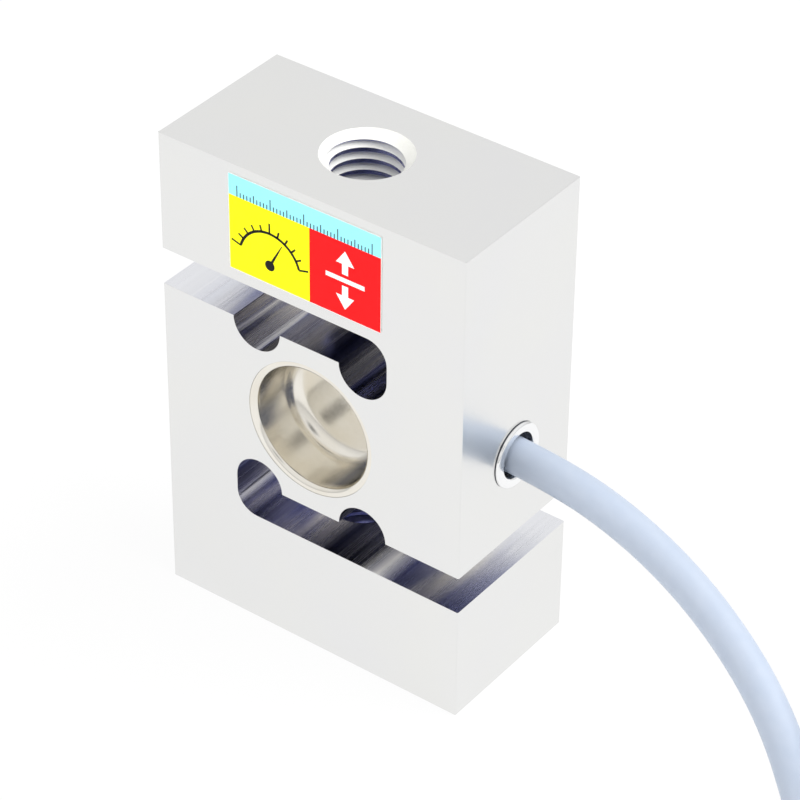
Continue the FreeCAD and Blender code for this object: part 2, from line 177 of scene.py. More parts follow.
# %% [markdown]
# ## Floor, white surroundings and lamps
# The cell stands in a white tent: a pale floor below and white cloth all round, which is what
# gives satin steel its even, bright faces. Floor and world glow at a strength of 1 for the
# camera, so they read as white without lighting the part any harder. Part of the floor's
# colour still comes from the lamps, so that it keeps the part's shadow.
#
# Polished steel shows what stands round it, so reflections get the tent as it is: the floor's
# pool of light fades with distance, the cloth is dimmer near its foot, and there is a dark
# opening for the lens. That is what gives a cup its soft dark spots. Matt surfaces get one
# even level from all round.

# %% Floor
FLOOR_GLOW = 0.93                       # share of the floor's look that is plain white
POOL_CENTRE = (0.08, -0.05, 0.0)        # of the pool of light round the part
POOL_EDGE, POOL_END, FAR_FLOOR = 0.24, 0.45, 0.45       # where it starts to fade and ends, and to what
FLOOR_HALF, FLOOR_DROP = 3.0, 0.02 * MM  # the drop keeps it clear of the block's bottom face


def seen_rays(owner):
    """1 for rays from the camera, a reflection or glass, 0 for light: the largest of the three."""
    rays = add(owner, "LightPath")
    mirrored = add(owner, "Math", {
        0: rays.outputs["Is Glossy Ray"], 1: rays.outputs["Is Transmission Ray"],
    }, operation="MAXIMUM")
    seen = add(owner, "Math", {0: rays.outputs["Is Camera Ray"], 1: mirrored}, operation="MAXIMUM")
    return rays, seen


paper = new_material("matt_white_paper")        # an even matt white with no sheen
finish(paper, {"Base Color": linear("#F6F6F6"), "Roughness": 0.9, "IOR": 1.3})
rays, seen = seen_rays(paper)
share = add(paper, "Math", {0: seen, 1: FLOOR_GLOW}, operation="MULTIPLY")
away = add(paper, "VectorMath", {
    0: add(paper, "TexCoord").outputs["Object"], 1: POOL_CENTRE,
}, operation="DISTANCE")
pool = add(paper, "MapRange", {
    "Value": away, "From Min": POOL_EDGE, "From Max": POOL_END,
    "To Min": 1.0, "To Max": FAR_FLOOR,
})
pool = add(paper, "MapRange", {"Value": rays.outputs["Is Glossy Ray"], "To Min": 1.0, "To Max": pool})
glow = add(paper, "Emission", {"Color": (1, 1, 1, 1), "Strength": pool})
blend = add(paper, "MixShader", {0: share, 1: paper.node_tree.nodes["Principled BSDF"], 2: glow})
wire(paper.node_tree.nodes["Material Output"], {"Surface": blend})

floor_mesh = bpy.data.meshes.new("floor")
corners = np.array([(-1, -1, 0), (1, -1, 0), (1, 1, 0), (-1, 1, 0)], float) * FLOOR_HALF
floor_mesh.from_pydata((corners - (0, 0, FLOOR_DROP)).tolist(), [], [(0, 1, 2, 3)])
floor = stand("floor", floor_mesh)
floor.data.materials.append(paper)
print("floor of", 2 * FLOOR_HALF, "m")

# %% Surroundings
WORLD_LIGHT = 0.34                      # what the tent gives to matt surfaces
LOW_CLOTH, HIGH_CLOTH = 0.72, 0.93      # what a reflection sees at its foot and from 30 degrees up
OPENING_EDGE, OPENING_MIDDLE = 0.97, 0.995      # cosines of 14 and 6 degrees off the lens's axis
OPENING_LIGHT = 0.3

world = bpy.data.worlds.new("white_tent")
world.use_nodes = True
bpy.context.scene.world = world
rays, seen = seen_rays(world)
strength = add(world, "MapRange", {"Value": seen, "To Min": WORLD_LIGHT, "To Max": 1.0})
direction = add(world, "TexCoord").outputs["Generated"]
climb = add(world, "SeparateXYZ", {0: direction})
cloth = add(world, "MapRange", {
    "Value": climb.outputs["Z"], "From Min": 0.0, "From Max": 0.5,
    "To Min": LOW_CLOTH, "To Max": HIGH_CLOTH,
})
cloth = add(world, "MapRange", {
    "Value": rays.outputs["Is Camera Ray"], "To Min": cloth, "To Max": 1.0,
})
opening = add(world, "VectorMath", {0: direction, 1: back}, operation="DOT_PRODUCT")
opening = add(world, "MapRange", {
    "Value": opening, "From Min": OPENING_EDGE, "From Max": OPENING_MIDDLE,
    "To Min": 1.0, "To Max": OPENING_LIGHT,
})
opening = add(world, "MapRange", {
    "Value": rays.outputs["Is Glossy Ray"], "To Min": 1.0, "To Max": opening,
})
for part in (cloth, opening):
    strength = add(world, "Math", {0: strength, 1: part}, operation="MULTIPLY")
wire(world.node_tree.nodes["Background"], {"Color": (1, 1, 1, 1), "Strength": strength})
print("surroundings:", world.name)

# %% Lamps
AIM = Vector((0, 0, 0.038))             # the middle of the block


def softbox(name, place, size, watts):
    """A square area lamp that faces the middle of the block from place, in metres."""
    lamp = bpy.data.lights.new(name, "AREA")
    lamp.size, lamp.energy = size, watts
    made = stand(name, lamp)
    made.location = place
    made.visible_glossy = False            # the cloth hides it, so polished steel doesn't show it
    made.rotation_mode = "QUATERNION"
    made.rotation_quaternion = (AIM - Vector(place)).to_track_quat("-Z", "Y")


softbox("front_softbox", (-0.45, -1.1, 0.75), 1.5, 15.0)
softbox("right_softbox", (0.9, 0.5, 1.1), 1.6, 40.0)
print("two softboxes")

# %% [markdown]
# ## The cable
# The cell's 3 m of four-core cable leaves square out of its ferrule, sags to the surface and
# runs to a tied coil beside the block. A real cable is one smooth line, so it is one NURBS
# spline of order 3: its control points pull the line towards them, and no corner can appear.
# The same route points place the CAD tubes. The coil's turns are worked out by a formula:
# radius and height change evenly with the angle, in six layers that spiral in and out.

# %% Cable route
CABLE_RADIUS = 2.6 * MM
OUTLET_HEIGHT = 38.1 * MM
cable_route = np.array([
    (18.2, 0, 38.1), (31.5, 0, 38.1), (46, -1, 35.5), (60, -4, 31), (73, -9, 24.5),
    (82.5, -15, 16), (90, -20.5, 6.5), (98, -25.5, 2.6), (107, -29.8, 2.6),
]) * MM
tail_route = np.array([                # from the coil's centre, over the top of the coil
    (-10, 33.2), (-23.8, 25.2), (-29.3, 10.2), (-23.8, -4.9), (-8.2, -13.9),
]) * MM

COIL_MEAN_RADIUS = 27.2 * MM
TURNS_PER_LAYER, LAYERS = 2.5, 6
TURN_PITCH, LAYER_PITCH = 5.25 * MM, 5.0 * MM
POINTS_PER_TURN = 16
TIE_STRAP = 1.3 * MM                   # the tail clears the ties' straps by lying on them

coil_low, coil_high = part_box("cable_coil")
coil_centre = np.array(((coil_low + coil_high) / 2).to_tuple()[:2] + (0.0,))
spread = TURNS_PER_LAYER * TURN_PITCH / 2
inner, outer = COIL_MEAN_RADIUS - spread, COIL_MEAN_RADIUS + spread
first_layer = coil_low.z + CABLE_RADIUS
tail_height = coil_high.z + TIE_STRAP + CABLE_RADIUS
tail_route = coil_centre + np.column_stack([tail_route, np.full(len(tail_route), tail_height)])


def coil_turns(start, end):
    """Control points of the coil between the route's last point and the tail's first one.

    Angle, radius and height are piecewise linear in the turn count: the cable comes in to the
    outer radius, spirals to the inner one, climbs a layer in a quarter turn, spirals out, and
    so on, and comes off the top. A control polygon lies outside its curve by 1 / cos(half step).
    """
    entry, climb = 60 / 360, 0.25       # in turns
    angle_in, angle_out = (math.atan2(*(p - coil_centre)[[1, 0]]) for p in (start, end))
    knots = [(0.0, np.linalg.norm((start - coil_centre)[:2]), start[2]), (entry, outer, first_layer)]
    for layer in range(LAYERS):
        turn, radius, height = knots[-1]
        far_side = inner if radius == outer else outer
        knots.append((turn + TURNS_PER_LAYER, far_side, height))
        if layer < LAYERS - 1:
            knots.append((turn + TURNS_PER_LAYER + climb, far_side, height + LAYER_PITCH))
    total = knots[-1][0]
    leave = ((angle_out - angle_in) / math.tau - total) % 1
    knots.append((total + leave, np.linalg.norm((end - coil_centre)[:2]), end[2]))
    turn, radius, height = np.array(knots).T
    count = round(turn[-1] * POINTS_PER_TURN)
    at = np.linspace(0, turn[-1], count + 1)[1:-1]
    angle = angle_in + math.tau * at
    reach = np.interp(at, turn, radius) / math.cos(math.pi / POINTS_PER_TURN)
    return coil_centre + np.column_stack([
        reach * np.cos(angle), reach * np.sin(angle), np.interp(at, turn, height)])


turns = coil_turns(cable_route[-1], tail_route[0])
cable_points = np.vstack([cable_route, turns, tail_route])
print(len(cable_points), "control points,", len(turns), "of them in the coil")

# %% Cable as a NURBS curve
def nurbs(name, points, radius=0.0):
    """A clamped quadratic NURBS curve through no point but the first and the last."""
    curve = bpy.data.curves.new(name, "CURVE")
    curve.dimensions = "3D"
    spline = curve.splines.new("NURBS")
    spline.points.add(len(points) - 1)
    spline.points.foreach_set("co", np.column_stack([points, np.ones(len(points))]).ravel())
    spline.points.foreach_set("radius", np.full(len(points), radius))
    spline.order_u = 3
    spline.use_endpoint_u = True
    spline.resolution_u = 8
    spline.use_smooth = True
    curve.bevel_depth = 1.0 if radius else 0.0      # times each point's own radius
    curve.bevel_resolution = 6
    curve.use_fill_caps = radius > 0
    return stand(name, curve)


cable = nurbs("cable", cable_points, CABLE_RADIUS)
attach(cable, "root")
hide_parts("cable_lead", "cable_coil", "cable_tail")
print("cable: one spline, order", cable.data.splines[0].order_u)

# %% [markdown]
# ## Surfaces from arrays
# Turned, pressed and drawn pieces are all a small profile carried round an axis or along a
# line. As arrays, that is a grid of points: rows along the profile, columns round it. The grid
# either closes on itself in both directions, as on a ring, or ends in a single point at each
# end, as on a cup. The volume that the faces enclose is positive only when they point outwards,
# so its sign says whether to turn them over.

# %% Grid surfaces
def place_mesh(name, vertices, faces, material, slot, nodes=(), smooth=35.0):
    """Put a mesh in the scene on the root body, sharp where faces meet at more than smooth."""
    mesh = bpy.data.meshes.new(name)
    mesh.from_pydata(vertices, [], faces)
    mesh.shade_smooth()
    mesh.set_sharp_from_angle(angle=math.radians(smooth))
    mesh.materials.append(material)
    made = stand(name, mesh)
    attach(made, "root")
    if nodes:
        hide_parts(*nodes)
    print(f"{name}: {len(faces)} faces")
    return made


def skin(rings, ring_shaped=False):
    """Vertices and faces of a surface through rings, an array (rows, columns, 3).

    Each quad joins neighbours in both directions, and the columns wrap round. A ring-shaped
    surface wraps its rows too; any other one closes on the middle of its first and last row.
    """
    rows, columns = rings.shape[:2]
    i = np.arange(rows if ring_shaped else rows - 1)[:, None]
    j = np.arange(columns)[None, :]
    following, beside = (i + 1) % rows * columns, (j + 1) % columns
    quads = np.stack([
        i * columns + j, i * columns + beside, following + beside, following + j,
    ], axis=-1).reshape(-1, 4)
    vertices = rings.reshape(-1, 3)
    a, b, c, d = (vertices[quads[:, k]] for k in range(4))
    volume = np.einsum("ij,ij->i", a, np.cross(b, c) + np.cross(c, d)).sum()
    faces = quads.tolist()
    if not ring_shaped:
        around = np.arange(columns)
        first, last = rows * columns, rows * columns + 1
        start = np.column_stack([np.roll(around, -1), around, np.full(columns, first)])
        rim = (rows - 1) * columns
        end = np.column_stack([rim + around, rim + np.roll(around, -1), np.full(columns, last)])
        vertices = np.vstack([vertices, rings[0].mean(axis=0), rings[-1].mean(axis=0)])
        caps = np.vstack([start, end])
        a, b, c = (vertices[caps[:, k]] for k in range(3))
        volume += np.einsum("ij,ij->i", a, np.cross(b, c)).sum()
        faces += caps.tolist()
    if volume < 0:
        faces = [face[::-1] for face in faces]
    return vertices, faces


def bend(centre, radius, start, end, steps=12):
    """Points of an arc from angle start to end: centre + radius (cos t, sin t), in degrees."""
    t = np.radians(np.linspace(start, end, steps + 1))
    return np.column_stack([centre[0] + radius * np.cos(t), centre[1] + radius * np.sin(t)])


def turned(profile, axis, segments=160):
    """Carry a profile of (radius, station) rows round axis "x" or "y" through the gauge bore."""
    t = np.linspace(0, math.tau, segments, endpoint=False)
    radius, station = profile[:, :1], profile[:, 1:]
    across, upward = radius * np.cos(t), OUTLET_HEIGHT + radius * np.sin(t)
    along = np.broadcast_to(station, across.shape)
    return np.stack([along, across, upward] if axis == "x" else [across, along, upward], axis=-1)


print("grid surfaces are ready")

# %% [markdown]
# ## Ground steel
# The block is alloy steel, surface ground and nickel plated: a fine satin that mirrors its
# surroundings as one soft tone. Nickel is a warm white metal, so the base colour is a light
# neutral grey and the metal keeps its default IOR. Real grinding lines are finer than a tenth
# of a millimetre; here the grain is 0.5 mm, coarse enough to show.

# %% Ground nickel
ground_nickel = new_material("ground_nickel_plate")
place = add(ground_nickel, "TexCoord")
grain, cloud = (add(ground_nickel, "TexNoise", {
    "Vector": add(ground_nickel, "Mapping", {
        "Vector": place.outputs["Object"], "Location": (seed,) * 3, "Scale": per_cell(*[size] * 3),
    }), "Scale": 1.0, "Detail": detail,
}) for size, detail, seed in ((0.5, 4.0, 0), (14, 1.0, 3)))
tone = add(ground_nickel, "Mix", {
    0: cloud, 6: linear("#ECECE9"), 7: linear("#EAEAEB"),
}, data_type="RGBA")
gloss = add(ground_nickel, "MapRange", {"Value": grain, **MIDDLE_HALF, "To Min": 0.2, "To Max": 0.27})
fine = add(ground_nickel, "Bump", {"Height": grain, "Strength": 0.04, "Distance": 0.01 * MM})
finish(ground_nickel, {
    "Metallic": 1.0, "Base Color": tone, "Roughness": gloss,
    "Normal": fine,
})

# %% [markdown]
# ## Milled slots
# The slots are milled with the cutter's axis square to the wide face, which leaves streaks
# that run through the block. Real ones are finer than 0.1 mm; they are drawn 0.45 mm wide,
# among broader ones of 2.2 mm, and they are shallower towards the slots' mouths. The colour
# holds painted light and shade: pale at the mouths, and darker and bluer deeper in, where
# shade falls; a painted band of shade crosses both slots, and a painted highlight lies inside
# the lower mouth. The half-round reliefs, where the cutter was plunged, have deeper streaks and
# painted highlight streaks, and the flats between them are smooth; painted highlights also lie
# in patches over the slots.
#
# Each of these is a mask: a number from 0 to 1 worked out from the place on the block. The
# masks then blend the colours one over the other and set how deep the streaks are.

# %% Masks on the slots
MOUTH_FROM, MOUTH_TO = 13 * MM, 18 * MM       # painted light: pale towards each mouth
FRONT_FACE, FULL_MOUTH_Y = -12.7 * MM, 8 * MM   # the lower mouth's painted light grows between these
FLATS_FROM, FLATS_TO = 13.2 * MM, 13.5 * MM     # above or below the outlet, past the reliefs
SHADE_BAND_AT, SHADE_BAND_REACH = 3.5 * MM, 6.0 * MM      # a painted band of shade across both slots, and how far it fades
HIGHLIGHT_AT, HIGHLIGHT_REACH = 11.5 * MM, 3.0 * MM   # a painted highlight inside the lower mouth

milled_steel = new_material("milled_slot_steel")
place = add(milled_steel, "TexCoord")
spot = add(milled_steel, "SeparateXYZ", {0: place.outputs["Object"]})
lower = add(milled_steel, "Math", {      # 1 in the lower slot, 0 in the upper one
    0: spot.outputs["Z"], 1: OUTLET_HEIGHT,
}, operation="LESS_THAN")
mouth_side = add(milled_steel, "MapRange", {"Value": lower, "To Min": -1.0, "To Max": 1.0})
towards_mouth = add(milled_steel, "Math", {0: spot.outputs["X"], 1: mouth_side}, operation="MULTIPLY")

inwards = add(milled_steel, "MapRange", {
    "Value": spot.outputs["Y"], "From Min": FRONT_FACE, "From Max": FULL_MOUTH_Y,
    "To Min": 0.1, "To Max": 1.0,
})
# Painted light and shade: 1 at the mouths, where the colour is pale and the streaks shallow, and 0
# deeper in, where the colour is painted dark and blue as shade.
full_mouth = add(milled_steel, "MapRange", {"Value": lower, "To Min": 1.0, "To Max": inwards})
lit_smooth_mouth = add(milled_steel, "MapRange", {
    "Value": towards_mouth, "From Min": MOUTH_FROM, "From Max": MOUTH_TO,
    "To Max": full_mouth,
})
plunged, painted_shade_band, painted_highlight = (add(milled_steel, "MapRange", {      # by distance from a centre
    "Value": add(milled_steel, "Math", {
        0: add(milled_steel, "Math", {0: value, 1: centre}, operation="SUBTRACT"),
    }, operation="ABSOLUTE"),
    "From Min": start, "From Max": end, "To Min": full, "To Max": rest,
}) for value, centre, start, end, full, rest in (
    (spot.outputs["Z"], OUTLET_HEIGHT, FLATS_FROM, FLATS_TO, 1.0, 0.15),
    (spot.outputs["X"], SHADE_BAND_AT, 0.0, SHADE_BAND_REACH, 1.0, 0.0),
    (towards_mouth, HIGHLIGHT_AT, 0.0, HIGHLIGHT_REACH, lower, 0.0),
))
painted_slot_shade = add(milled_steel, "MapRange", {      # painted shade: darkens both slots, the upper one more
    "Value": lower, "To Min": 0.3, "To Max": 0.12,
})
print("masks: plated, plunged, stained, rubbed and duller")

# %% Streaks and colour of the slots
streaks, broad, patches = (add(milled_steel, "TexNoise", {
    "Vector": add(milled_steel, "Mapping", {
        "Vector": place.outputs["Object"], "Location": (seed,) * 3, "Scale": per_cell(*cells),
    }), "Scale": 1.0, "Detail": 2.0,
}) for cells, seed in (((0.45, 90, 0.45), 0), ((2.2, 90, 2.2), 8), ((6, 26, 6), 17)))
# Painted highlights: bright streaks on the reliefs and bright patches over the slots, mixed in as the
# pale #FFFCF6.
streak_highlight = add(milled_steel, "MapRange", {"Value": broad, **MIDDLE_HALF, "To Min": -1.6, "To Max": 2.9})
relief_highlights = add(milled_steel, "Math", {0: streak_highlight, 1: plunged}, operation="MULTIPLY")
highlight_patches = add(milled_steel, "MapRange", {
    "Value": patches, **MIDDLE_HALF, "To Min": -0.9, "To Max": 1.6,
})
bright = add(milled_steel, "Math", {0: highlight_patches, 1: relief_highlights}, operation="ADD")
colour = linear("#9296BE")                              # painted shade: the dark blue of the slots' depths
for amount, over in ((bright, "#FFFCF6"), (painted_slot_shade, "#4C4E5C"), (painted_shade_band, "#30334A"),
                     (painted_highlight, "#FFFDF8"), (lit_smooth_mouth, "#ECEDF1")):
    colour = add(milled_steel, "Mix", {0: amount, 6: colour, 7: linear(over)}, data_type="RGBA")

gloss = add(milled_steel, "MapRange", {
    "Value": streaks, **MIDDLE_HALF, "To Min": 0.12, "To Max": 0.34,
})
metal = add(milled_steel, "MapRange", {       # less metallic under the painted highlight, so it stays pale
    "Value": painted_highlight, "To Min": 1.0, "To Max": 0.3,
})
depth = add(milled_steel, "MapRange", {       # the streaks are shallower towards the mouths
    "Value": lit_smooth_mouth, "To Min": plunged, "To Max": 0.08,
})
chatter = add(milled_steel, "Bump", {"Height": broad, "Strength": depth, "Distance": 0.35 * MM})
cuts = add(milled_steel, "Bump", {
    "Height": streaks, "Strength": depth, "Distance": 0.025 * MM,
    "Normal": chatter,
})
finish(milled_steel, {
    "Metallic": metal, "Base Color": colour, "Roughness": gloss,
    "Normal": cuts,
})

# %% [markdown]
# ## Tapped, turned and pressed steel
# The thread's faces carry painted light and shade by which way they face: those that face the
# mouth are a near white, matt and only partly metallic, and the rest are painted dark and a
# little blue. The ferrule is turned, with rings a tenth of a millimetre apart round its axis.
# The cups are pressed from bright sheet, a warm mirror with faint draw lines, with painted
# shade: a dull blue tint low on one side of the wall.

# %% Tapped threads
# Painted shade for the thread's faces that turn away from the mouth, and painted light for those that
# face it.
shaded_thread_steel = grained("tapped_thread_painted_shade", "#8488BE", "#A2A5CC", 0.3, (0.15, 0.3),
                       seed=4, Metallic=1.0)
lit_thread_flanks = grained("tapped_thread_painted_light", "#F6F6F2", "#EDEDE6", 0.3, (0.5, 0.62),
                        seed=6, Metallic=0.35)

# %% Turned nickel
turned_nickel = new_material("turned_nickel_plate")
from_axis = add(turned_nickel, "VectorMath", {
    0: add(turned_nickel, "TexCoord").outputs["Object"], 1: (0, 0, -OUTLET_HEIGHT),
}, operation="ADD")
flat = add(turned_nickel, "VectorMath", {0: from_axis, 1: (0, 1, 1)}, operation="MULTIPLY")
radius = add(turned_nickel, "VectorMath", {0: flat}, operation="LENGTH")
rings = add(turned_nickel, "TexNoise", {
    "W": radius, "Scale": 1 / (0.12 * MM), "Detail": 2.0,
}, noise_dimensions="1D")
tone = add(turned_nickel, "Mix", {
    0: rings, 6: linear("#FBFBFB"), 7: linear("#F2F3F4"),
}, data_type="RGBA")
gloss = add(turned_nickel, "MapRange", {"Value": rings, **MIDDLE_HALF, "To Min": 0.1, "To Max": 0.22})
marks = add(turned_nickel, "Bump", {"Height": rings, "Strength": 0.3, "Distance": 0.01 * MM})
finish(turned_nickel, {
    "Metallic": 1.0, "Base Color": tone, "Roughness": gloss,
    "Normal": marks,
})

# %% Pressed steel
TINT_FROM, TINT_FULL = 10.6 * MM, 12.4 * MM     # where the painted shade starts and is full, in x - height on the wall, which is 13.3 at most
BEND_INSIDE, BEND_OUTSIDE = 11.0 * MM, 12.0 * MM        # |y| where the painted shade stops short of the rim

pressed_steel = new_material("pressed_bright_steel")
place = add(pressed_steel, "TexCoord")
drawn, warmth = (add(pressed_steel, "TexNoise", {
    "Vector": add(pressed_steel, "Mapping", {
        "Vector": place.outputs["Object"], "Location": (seed,) * 3, "Scale": per_cell(*cells),
    }), "Scale": 1.0, "Detail": detail,
}) for cells, detail, seed in (((0.6, 2.5, 0.6), 3.0, 0), ((6, 6, 6), 2.0, 2)))
warmth = add(pressed_steel, "MapRange", {"Value": warmth, **MIDDLE_HALF})
tone = add(pressed_steel, "Mix", {
    0: warmth, 6: linear("#F1EEE7"), 7: linear("#EBE6DB"),
}, data_type="RGBA")
spot = add(pressed_steel, "SeparateXYZ", {0: place.outputs["Object"]})
slanting = add(pressed_steel, "Math", {
    0: spot.outputs["X"], 1: spot.outputs["Z"],
}, operation="SUBTRACT")
low_side = add(pressed_steel, "MapRange", {
    "Value": slanting, "From Min": TINT_FROM - OUTLET_HEIGHT,
    "From Max": TINT_FULL - OUTLET_HEIGHT, "To Min": 0.0, "To Max": 0.95,
})
outwards = add(pressed_steel, "Math", {0: spot.outputs["Y"]}, operation="ABSOLUTE")
inside = add(pressed_steel, "MapRange", {
    "Value": outwards, "From Min": BEND_INSIDE, "From Max": BEND_OUTSIDE,
    "To Min": 1.0, "To Max": 0.0,
})
painted_wall_shade = add(pressed_steel, "Math", {0: low_side, 1: inside}, operation="MULTIPLY")
# Painted shade: a dull blue-grey low on one side of the cup's wall.
tone = add(pressed_steel, "Mix", {0: painted_wall_shade, 6: tone, 7: linear("#666C80")}, data_type="RGBA")
gloss = add(pressed_steel, "MapRange", {"Value": drawn, **MIDDLE_HALF, "To Min": 0.14, "To Max": 0.24})
finish(pressed_steel, {"Metallic": 1.0, "Base Color": tone, "Roughness": gloss})

# %% [markdown]
# ## The spring element and its threads
# The block's form is the CAD solid's, whose threaded holes stop at the tapping drill. An
# M12 thread is a groove of 60 degrees wound along a helix, so its cutter is a four-cornered
# profile carried along that helix: at an angle t it has moved up by pitch * t / tau. The
# cutter is taken away from a copy of the block by a Boolean, once at each end.

# %% Thread cutters
PITCH = 1.75 * MM
THREAD_ROOT, CUTTER_INNER = 6.0 * MM, 4.9 * MM
CUTTER_STEPS = 60                       # to each turn
PAST_ENDS = 1.2 * MM                    # so that the groove runs out of both faces
BLOCK_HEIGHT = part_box("body")[1].z
SLOT_CEILING = OUTLET_HEIGHT + 19.5 * MM


def thread_cutter(low, high, upside_down):
    """Rings of the groove's profile along a helix on the load axis, from low to high.

    The profile is a trapezium: pitch / 8 wide at the root, and wider by the 60 degree flanks
    towards the axis. Turned upside down, the helix keeps its hand.
    """
    root = PITCH / 16
    mouth = root + (THREAD_ROOT - CUTTER_INNER) * math.tan(math.radians(30))
    radius = np.array([CUTTER_INNER, THREAD_ROOT, THREAD_ROOT, CUTTER_INNER])[None, :]
    offset = np.array([-mouth, -root, root, mouth])[None, :]
    t = np.arange(0, math.tau * (high - low) / PITCH, math.tau / CUTTER_STEPS)[:, None]
    x, y = radius * np.cos(t), radius * np.sin(t)
    z = low + PITCH * t / math.tau + offset
    if upside_down:
        x, z = -x, BLOCK_HEIGHT - z
    return np.stack([x, y, z], axis=-1)


def cutter_object(name, rings):
    """A closed solid through the rings, which only the Boolean uses."""
    vertices, faces = skin(rings)
    mesh = bpy.data.meshes.new(name)
    mesh.from_pydata(vertices, [], faces)
    return stand(name, mesh)


cutters = [cutter_object(f"thread_cutter_{k}", thread_cutter(
    SLOT_CEILING - PAST_ENDS, BLOCK_HEIGHT + PAST_ENDS, k == 1)) for k in (0, 1)]
print("cutters of", [len(c.data.polygons) for c in cutters], "faces")

# %% Cut the threads
def merged_copy(node):
    """A CAD node's mesh with its loose triangles joined into one closed surface."""
    work = bmesh.new()
    work.from_mesh(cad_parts[node].data)
    bmesh.ops.remove_doubles(work, verts=work.verts, dist=1e-7)
    mesh = bpy.data.meshes.new(node + "_copy")
    work.to_mesh(mesh)
    work.free()
    for name in ("custom_normal", "sharp_edge"):
        if name in mesh.attributes:
            mesh.attributes.remove(mesh.attributes[name])
    return mesh


block = stand("spring_element", merged_copy("body"))
for cutter in cutters:
    cut = block.modifiers.new(cutter.name, "BOOLEAN")
    cut.object, cut.operation, cut.solver = cutter, "DIFFERENCE", "EXACT"
carved = bpy.data.meshes.new_from_object(block.evaluated_get(bpy.context.evaluated_depsgraph_get()))
block.modifiers.clear()
block.data = carved
for cutter in cutters:
    bpy.data.objects.remove(cutter)
print("spring element:", len(carved.polygons), "faces")

# %% Finish of each face
HALF_WIDTH_MM, HALF_DEPTH_MM, HALF_HEIGHT_MM = 25.4, 12.7, 38.1
RELIEF_TOP, SLOT_TOP = 9.5, 19.52       # the reliefs and slots lie between these heights off the outlet
SEAT_EDGE, HOLE_EDGE = 10.7, 6.45       # radii: outside the cup's seat, and inside the countersink
FACE_GAP = 0.26                         # an outer face's centre is nearer to its side than this

count = len(carved.polygons)
centre, normal = np.empty(count * 3), np.empty(count * 3)
carved.polygons.foreach_get("center", centre)
carved.polygons.foreach_get("normal", normal)
x, y, z = (centre.reshape(-1, 3) / MM).T
z -= HALF_HEIGHT_MM
height = np.abs(z)
in_slot = (height > RELIEF_TOP) & (height < SLOT_TOP) & (np.hypot(x, z) > SEAT_EDGE)
in_slot &= (np.abs(x) < HALF_WIDTH_MM - FACE_GAP) & (np.abs(y) < HALF_DEPTH_MM - FACE_GAP)
in_hole = (height > SLOT_TOP - 0.02) & (height < HALF_HEIGHT_MM - 0.05) & (np.hypot(x, y) < HOLE_EDGE)
# Thread faces that face the mouth take the painted light, and the rest of the thread takes the painted
# shade.
facing_out = normal.reshape(-1, 3)[:, 2] * np.sign(z) > 0.3
GROUND, MILLED, TAPPED, FLANKS = range(4)
which = np.where(in_hole, np.where(facing_out, FLANKS, TAPPED), np.where(in_slot, MILLED, GROUND))
carved.materials.clear()
for steel in (ground_nickel, milled_steel, shaded_thread_steel, lit_thread_flanks):
    carved.materials.append(steel)
carved.polygons.foreach_set("material_index", which.astype(np.int32))
carved.shade_smooth()
carved.set_sharp_from_angle(angle=math.radians(30))
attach(block, "root")
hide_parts("body")
print("faces ground, milled, tapped and flanks:", np.bincount(which, minlength=4))

# %% [markdown]
# ## Sealing cups
# Each cup is pressed from 0.3 mm sheet: a flat floor, a generous fillet, a straight wall, and
# a small bend out to the rim that sits in the bore's counterbore. Its section is a closed line
# from the axis, along the inside, round the rim and back along the outside, and the cup is
# that line carried round the bore's axis. The arcs are cut finely, so that the polished metal
# reflects without facets.

# %% Cups
HALF_DEPTH = HALF_DEPTH_MM * MM
inner_wall, bend_radius, rim_radius = 9.4, 10.2, 10.545
hub, mid_floor = 0.6, 4.0               # radii on the flat floor
floor_depth, fillet, sheet, seat = 8.5, 2.45, 0.3, 0.36
rim_edge, outer_bend = 0.08, bend_radius - inner_wall
cup_section = np.vstack([
    [(hub, floor_depth), (mid_floor, floor_depth)],
    bend((inner_wall - fillet, floor_depth - fillet), fillet, 90, 0, 20),
    bend((bend_radius, seat - sheet + outer_bend), outer_bend, 180, 270, 12),
    bend((rim_radius - rim_edge, seat - sheet + rim_edge), rim_edge, 270, 360, 4),
    [(rim_radius, seat)],
    bend((bend_radius, seat - sheet + outer_bend), outer_bend - sheet, 270, 180, 8),
    bend((inner_wall - fillet, floor_depth - fillet), fillet + sheet, 0, 90, 14),
    [(mid_floor, floor_depth + sheet), (hub, floor_depth + sheet)],
]) * MM
for node, side in (("front_cup", -1), ("rear_cup", 1)):
    section = cup_section.copy()
    section[:, 1] = side * (HALF_DEPTH - section[:, 1])
    place_mesh(node + "_pressed", *skin(turned(section, "y")),
               pressed_steel, "steel_polished", (node,))

# %% [markdown]
# ## Ferrule, shadow ring and seal
# The cable leaves through a turned ring pressed into the side face. Its flange has a broken
# outer edge and a rounded lip where the hole starts. The flange stands a little off the block,
# and a thin black ring in that gap is painted shade, the dark line of the gap's shadow. A black
# rubber ring fills the gap round the cable a little below the nose, its face drawn in slightly
# where it was squeezed. All three are profiles turned round the outlet's axis, in millimetres:
# radius, then x.

# %% Ferrule
# The flange stands 0.12 mm off the side face; the black ring in that gap is painted shade.
SIDE_FACE, FLANGE_GAP = 25.4, 0.12
nose_face, inner_end = 25.95, 18.4
hole, shank, flange = 3.4, 4.15, 4.88           # radii
lip, flange_edge = 0.3, 0.38
under_flange = SIDE_FACE + FLANGE_GAP
ferrule_section = np.vstack([
    [(hole, inner_end), (hole, nose_face - lip)],
    bend((hole + lip, nose_face - lip), lip, 180, 90, 6),
    bend((flange - flange_edge, nose_face - flange_edge), flange_edge, 90, 0, 8),
    [(flange, under_flange), (shank, under_flange), (shank, inner_end)],
]) * MM
place_mesh("ferrule_turned", *skin(turned(ferrule_section, "x"), ring_shaped=True),
           turned_nickel, "steel_polished", ("cable_ferrule",))

